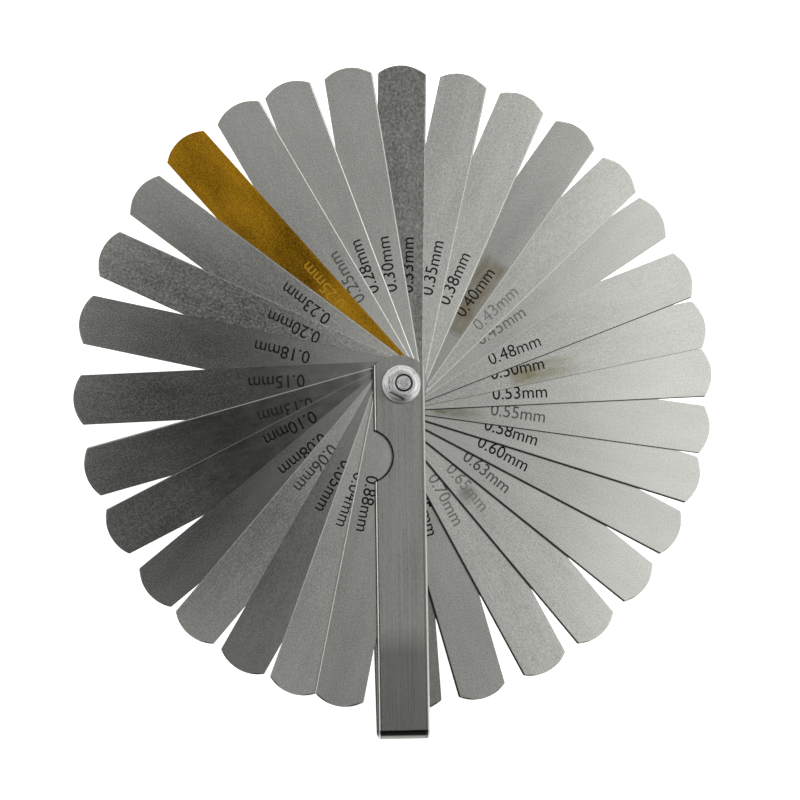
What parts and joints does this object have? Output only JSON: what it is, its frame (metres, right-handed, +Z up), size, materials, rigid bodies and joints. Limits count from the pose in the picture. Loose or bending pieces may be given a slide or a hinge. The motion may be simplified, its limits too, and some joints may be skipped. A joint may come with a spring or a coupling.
{
  "type": "feeler gauge",
  "caption": "Metric feeler gauge: steel thickness blades fan out on a pivot screw in a folded steel holder, one brass blade.",
  "frame": {"origin": "centre of the screw head's flat face, on the pivot axis", "axes": "+Z up the pivot axis from the screw head to the nut; -Y along the holder to its folded end; +X to the holder's right with the nut facing the viewer"},
  "size_m": [0.1678, 0.1748, 0.0228],
  "materials": {
    "blade_steel": "satin",
    "blade_steel_ground": "coarse ground",
    "blade_brass": "satin, darkened",
    "holder_steel": "brushed lengthwise",
    "zinc_plate": "bright zinc plate",
    "etched_mark": "matt etched"
  },
  "bodies": {
    "holder_body": {"holder": "holder_steel", "pivot_screw": "zinc_plate"},
    "nut": {"flange_nut": "zinc_plate"},
    "blade_0_88_body": {"blade_0_88": "blade_steel"},
    "blade_0_04_body": {"blade_0_04": "blade_steel"},
    "blade_0_05_body": {"blade_0_05": "blade_steel"},
    "blade_0_06_body": {"blade_0_06": "blade_steel"},
    "blade_0_08_body": {"blade_0_08": "blade_steel"},
    "blade_0_10_body": {"blade_0_10": "blade_steel"},
    "blade_0_13_body": {"blade_0_13": "blade_steel"},
    "blade_0_15_body": {"blade_0_15": "blade_steel"},
    "blade_0_18_body": {"blade_0_18": "blade_steel"},
    "blade_0_20_body": {"blade_0_20": "blade_steel"},
    "blade_0_23_body": {"blade_0_23": "blade_steel"},
    "blade_0_25_brass_body": {"blade_0_25_brass": "blade_brass"},
    "blade_0_25_body": {"blade_0_25": "blade_steel"},
    "blade_0_28_body": {"blade_0_28": "blade_steel"},
    "blade_0_30_body": {"blade_0_30": "blade_steel"},
    "blade_0_33_body": {"blade_0_33": "blade_steel_ground"},
    "blade_0_35_body": {"blade_0_35": "blade_steel"},
    "blade_0_38_body": {"blade_0_38": "blade_steel"},
    "blade_0_40_body": {"blade_0_40": "blade_steel"},
    "blade_0_43_body": {"blade_0_43": "blade_steel"},
    "blade_0_45_body": {"blade_0_45": "blade_steel"},
    "blade_0_48_body": {"blade_0_48": "blade_steel"},
    "blade_0_50_body": {"blade_0_50": "blade_steel"},
    "blade_0_53_body": {"blade_0_53": "blade_steel"},
    "blade_0_55_body": {"blade_0_55": "blade_steel"},
    "blade_0_58_body": {"blade_0_58": "blade_steel"},
    "blade_0_60_body": {"blade_0_60": "blade_steel"},
    "blade_0_63_body": {"blade_0_63": "blade_steel"},
    "blade_0_65_body": {"blade_0_65": "blade_steel"},
    "blade_0_70_body": {"blade_0_70": "blade_steel"},
    "blade_0_75_body": {"blade_0_75": "blade_steel"},
    "blade_0_80_body": {"blade_0_80": "blade_steel"}
  },
  "joints": [
    {"name": "nut_turn", "type": "hinge", "parent": "holder_body", "child": "nut", "pos_m": [0, 0, 0.01811], "axis": [0, 0, 1], "range_deg": [0, 90]},
    {"name": "swing_0_88", "type": "hinge", "parent": "holder_body", "child": "blade_0_88_body", "pos_m": [0, 0, 0.01], "axis": [0, 0, 1], "range_deg": [-348, 12]},
    {"name": "swing_0_04", "type": "hinge", "parent": "holder_body", "child": "blade_0_04_body", "pos_m": [0, 0, 0.01], "axis": [0, 0, 1], "range_deg": [-339.5, 20.5]},
    {"name": "swing_0_05", "type": "hinge", "parent": "holder_body", "child": "blade_0_05_body", "pos_m": [0, 0, 0.01], "axis": [0, 0, 1], "range_deg": [-329.5, 30.5]},
    {"name": "swing_0_06", "type": "hinge", "parent": "holder_body", "child": "blade_0_06_body", "pos_m": [0, 0, 0.01], "axis": [0, 0, 1], "range_deg": [-319, 41]},
    {"name": "swing_0_08", "type": "hinge", "parent": "holder_body", "child": "blade_0_08_body", "pos_m": [0, 0, 0.01], "axis": [0, 0, 1], "range_deg": [-309, 51]},
    {"name": "swing_0_10", "type": "hinge", "parent": "holder_body", "child": "blade_0_10_body", "pos_m": [0, 0, 0.01], "axis": [0, 0, 1], "range_deg": [-297, 63]},
    {"name": "swing_0_13", "type": "hinge", "parent": "holder_body", "child": "blade_0_13_body", "pos_m": [0, 0, 0.01], "axis": [0, 0, 1], "range_deg": [-285.5, 74.5]},
    {"name": "swing_0_15", "type": "hinge", "parent": "holder_body", "child": "blade_0_15_body", "pos_m": [0, 0, 0.01], "axis": [0, 0, 1], "range_deg": [-272.5, 87.5]},
    {"name": "swing_0_18", "type": "hinge", "parent": "holder_body", "child": "blade_0_18_body", "pos_m": [0, 0, 0.01], "axis": [0, 0, 1], "range_deg": [-258, 102]},
    {"name": "swing_0_20", "type": "hinge", "parent": "holder_body", "child": "blade_0_20_body", "pos_m": [0, 0, 0.01], "axis": [0, 0, 1], "range_deg": [-245.5, 114.5]},
    {"name": "swing_0_23", "type": "hinge", "parent": "holder_body", "child": "blade_0_23_body", "pos_m": [0, 0, 0.01], "axis": [0, 0, 1], "range_deg": [-233, 127]},
    {"name": "swing_0_25_brass", "type": "hinge", "parent": "holder_body", "child": "blade_0_25_brass_body", "pos_m": [0, 0, 0.01], "axis": [0, 0, 1], "range_deg": [-221.5, 138.5]},
    {"name": "swing_0_25", "type": "hinge", "parent": "holder_body", "child": "blade_0_25_body", "pos_m": [0, 0, 0.01], "axis": [0, 0, 1], "range_deg": [-210, 150]},
    {"name": "swing_0_28", "type": "hinge", "parent": "holder_body", "child": "blade_0_28_body", "pos_m": [0, 0, 0.01], "axis": [0, 0, 1], "range_deg": [-200, 160]},
    {"name": "swing_0_30", "type": "hinge", "parent": "holder_body", "child": "blade_0_30_body", "pos_m": [0, 0, 0.01], "axis": [0, 0, 1], "range_deg": [-188.5, 171.5]},
    {"name": "swing_0_33", "type": "hinge", "parent": "holder_body", "child": "blade_0_33_body", "pos_m": [0, 0, 0.01], "axis": [0, 0, 1], "range_deg": [-178.5, 181.5]},
    {"name": "swing_0_35", "type": "hinge", "parent": "holder_body", "child": "blade_0_35_body", "pos_m": [0, 0, 0.01], "axis": [0, 0, 1], "range_deg": [-167, 193]},
    {"name": "swing_0_38", "type": "hinge", "parent": "holder_body", "child": "blade_0_38_body", "pos_m": [0, 0, 0.01], "axis": [0, 0, 1], "range_deg": [-155.5, 204.5]},
    {"name": "swing_0_40", "type": "hinge", "parent": "holder_body", "child": "blade_0_40_body", "pos_m": [0, 0, 0.01], "axis": [0, 0, 1], "range_deg": [-144, 216]},
    {"name": "swing_0_43", "type": "hinge", "parent": "holder_body", "child": "blade_0_43_body", "pos_m": [0, 0, 0.01], "axis": [0, 0, 1], "range_deg": [-133, 227]},
    {"name": "swing_0_45", "type": "hinge", "parent": "holder_body", "child": "blade_0_45_body", "pos_m": [0, 0, 0.01], "axis": [0, 0, 1], "range_deg": [-123, 237]},
    {"name": "swing_0_48", "type": "hinge", "parent": "holder_body", "child": "blade_0_48_body", "pos_m": [0, 0, 0.01], "axis": [0, 0, 1], "range_deg": [-111, 249]},
    {"name": "swing_0_50", "type": "hinge", "parent": "holder_body", "child": "blade_0_50_body", "pos_m": [0, 0, 0.01], "axis": [0, 0, 1], "range_deg": [-101.5, 258.5]},
    {"name": "swing_0_53", "type": "hinge", "parent": "holder_body", "child": "blade_0_53_body", "pos_m": [0, 0, 0.01], "axis": [0, 0, 1], "range_deg": [-92.5, 267.5]},
    {"name": "swing_0_55", "type": "hinge", "parent": "holder_body", "child": "blade_0_55_body", "pos_m": [0, 0, 0.01], "axis": [0, 0, 1], "range_deg": [-82, 278]},
    {"name": "swing_0_58", "type": "hinge", "parent": "holder_body", "child": "blade_0_58_body", "pos_m": [0, 0, 0.01], "axis": [0, 0, 1], "range_deg": [-72.5, 287.5]},
    {"name": "swing_0_60", "type": "hinge", "parent": "holder_body", "child": "blade_0_60_body", "pos_m": [0, 0, 0.01], "axis": [0, 0, 1], "range_deg": [-62, 298]},
    {"name": "swing_0_63", "type": "hinge", "parent": "holder_body", "child": "blade_0_63_body", "pos_m": [0, 0, 0.01], "axis": [0, 0, 1], "range_deg": [-51, 309]},
    {"name": "swing_0_65", "type": "hinge", "parent": "holder_body", "child": "blade_0_65_body", "pos_m": [0, 0, 0.01], "axis": [0, 0, 1], "range_deg": [-39.5, 320.5]},
    {"name": "swing_0_70", "type": "hinge", "parent": "holder_body", "child": "blade_0_70_body", "pos_m": [0, 0, 0.01], "axis": [0, 0, 1], "range_deg": [-28, 332]},
    {"name": "swing_0_75", "type": "hinge", "parent": "holder_body", "child": "blade_0_75_body", "pos_m": [0, 0, 0.01], "axis": [0, 0, 1], "range_deg": [-15.5, 344.5]},
    {"name": "swing_0_80", "type": "hinge", "parent": "holder_body", "child": "blade_0_80_body", "pos_m": [0, 0, 0.01], "axis": [0, 0, 1], "range_deg": [-3.5, 356.5]}
  ]
}
